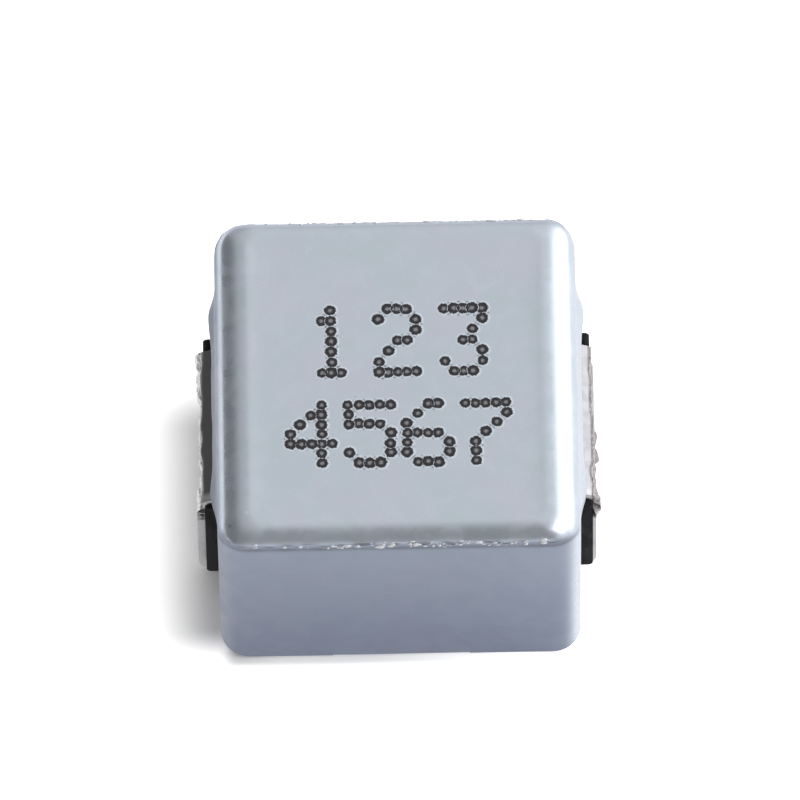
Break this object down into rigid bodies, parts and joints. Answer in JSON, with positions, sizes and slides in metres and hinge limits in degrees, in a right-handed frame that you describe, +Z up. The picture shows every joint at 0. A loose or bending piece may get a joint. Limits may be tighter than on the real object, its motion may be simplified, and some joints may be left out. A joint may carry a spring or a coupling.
{
  "type": "shielded smd inductor",
  "caption": "Square surface-mount power inductor: pressed powder block under a drawn metal shield can, with strip terminals folded under two sides.",
  "frame": {"origin": "on the board plane, under the middle of the can", "axes": "+X and -X towards the two terminals, -Y towards the front wall, +Z up from the board"},
  "size_m": [0.0148, 0.0136, 0.009],
  "materials": {
    "tinned_can": "satin tin plate, faintly mottled, with a fine draw line under the top bends",
    "pressed_powder": "matt black pressed iron powder",
    "copper_wire": "enamelled copper",
    "tinned_strip": "tinned, rough along its sheared outer edge"
  },
  "bodies": {
    "root": {"shield_can": "tinned_can", "core_block": "pressed_powder", "winding": "copper_wire", "terminal_left": "tinned_strip", "terminal_right": "tinned_strip"}
  },
  "joints": []
}
